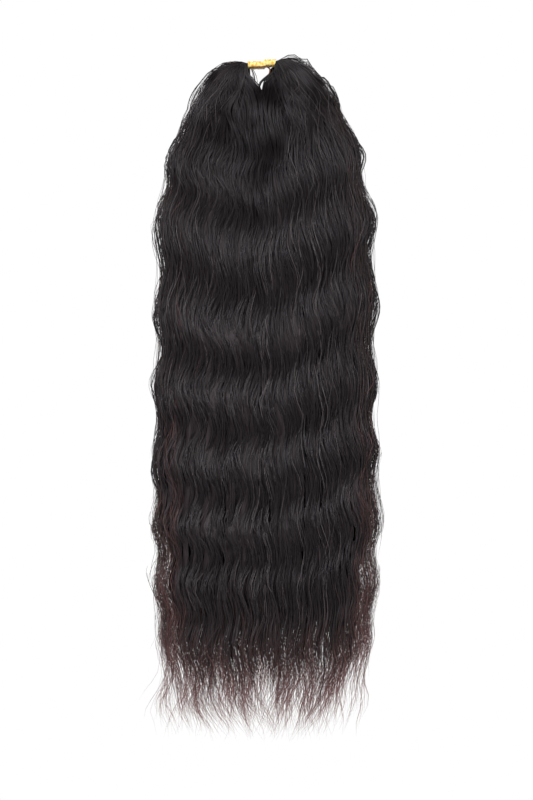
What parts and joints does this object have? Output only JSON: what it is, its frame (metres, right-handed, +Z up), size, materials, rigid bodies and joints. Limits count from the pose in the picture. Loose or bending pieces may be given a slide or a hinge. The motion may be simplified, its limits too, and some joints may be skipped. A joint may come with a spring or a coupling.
{
  "type": "tied hank of crochet hair",
  "caption": "Hank of long dark wavy crochet hair, bound at the middle by a wound yellow elastic so that both halves arch over and hang down as one mass.",
  "frame": {"origin": "middle of the elastic tie, on the axis of the hair bundle that runs through it", "axes": "+Z up, against the way the hair hangs; +X along the bundle inside the tie, to the right; the front faces -Y"},
  "size_m": [0.1698, 0.0475, 0.5117],
  "materials": {
    "hair": "dark brown-black strands with a soft sheen, browner at the tips",
    "elastic": "yellow wound elastic, satin"
  },
  "bodies": {
    "root": {"hair_hank": "hair", "elastic_tie": "elastic"}
  },
  "joints": []
}
